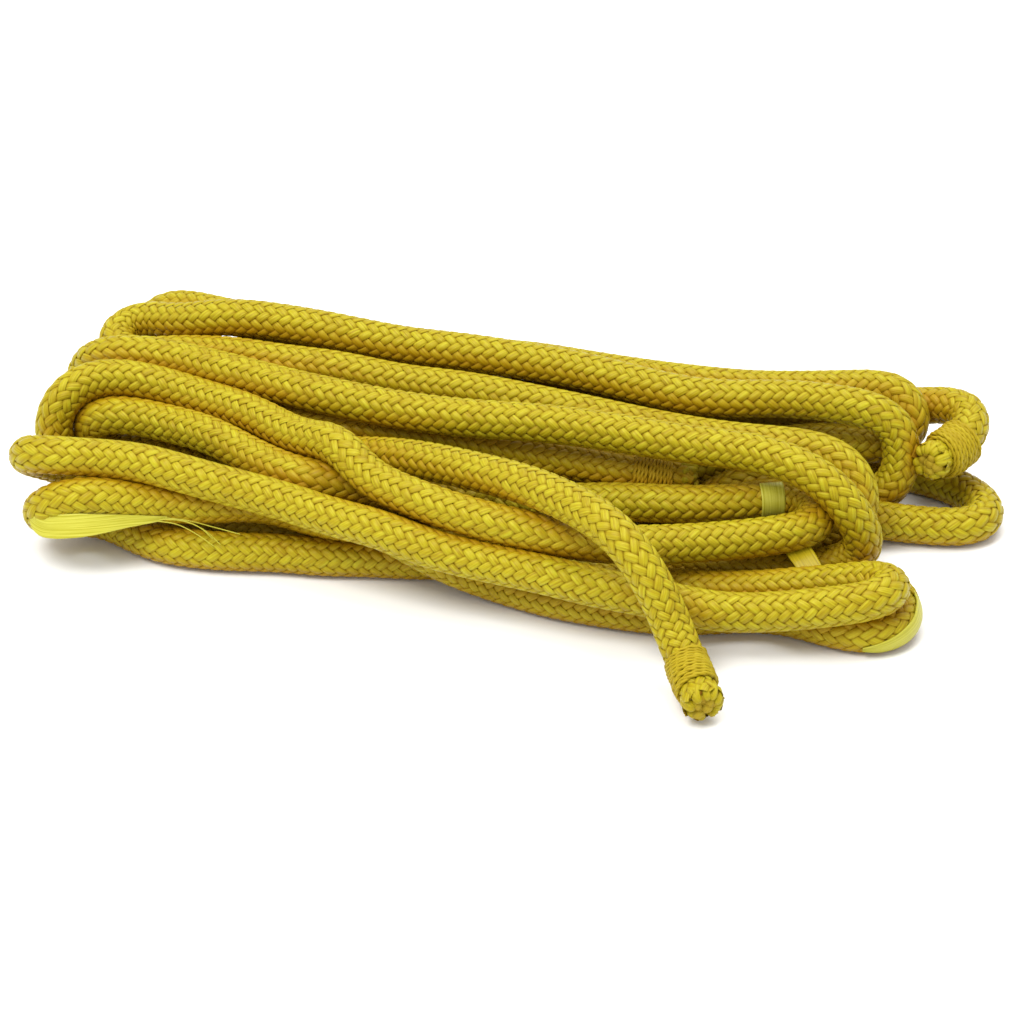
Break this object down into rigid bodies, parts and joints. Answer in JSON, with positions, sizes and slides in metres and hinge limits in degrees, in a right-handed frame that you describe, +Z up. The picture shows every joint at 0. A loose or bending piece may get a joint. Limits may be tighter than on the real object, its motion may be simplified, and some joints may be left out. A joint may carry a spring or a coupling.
{
  "type": "climbing rope hank",
  "caption": "Yellow braided climbing rope folded into a flat hank that lies on the floor, with whipped cut ends, flat tape ties and a free tail that swings.",
  "frame": {"origin": "on the floor under the middle of the hank's outer size", "axes": "+Z up from the floor, +X along the hank towards the end whose upper loop ends in a whipping, +Y to the back, away from the free tail"},
  "size_m": [0.2557, 0.1609, 0.0397],
  "materials": {
    "rope": "satin",
    "twine": "satin",
    "core": "matte",
    "tape": "gloss"
  },
  "bodies": {
    "hank": {"floor_laps": "rope", "lower_laps": "rope", "upper_laps": "rope", "top_laps": "rope", "top_run": "rope", "crossing_run": "rope", "front_run": "rope", "middle_run": "rope", "big_loop": "rope", "front_loop": "rope", "top_loop": "rope", "low_loop": "rope", "floor_loop": "rope", "whipped_loop": "rope", "middle_whipping": "twine", "middle_cut_end": "core", "right_whipping": "twine", "right_cut_end": "core", "hidden_whipping": "twine", "hidden_cut_end": "core", "low_loop_tape": "tape", "crossing_tape": "tape", "gap_tape": "tape", "corner_tape": "tape"},
    "tail": {"tail": "rope", "tail_whipping": "twine", "tail_cut_end": "core"}
  },
  "joints": [
    {"name": "tail_swing", "type": "hinge", "parent": "hank", "child": "tail", "pos_m": [0.018, -0.038, 0.034], "axis": [0, 0, 1], "range_deg": [-25, 4]}
  ]
}
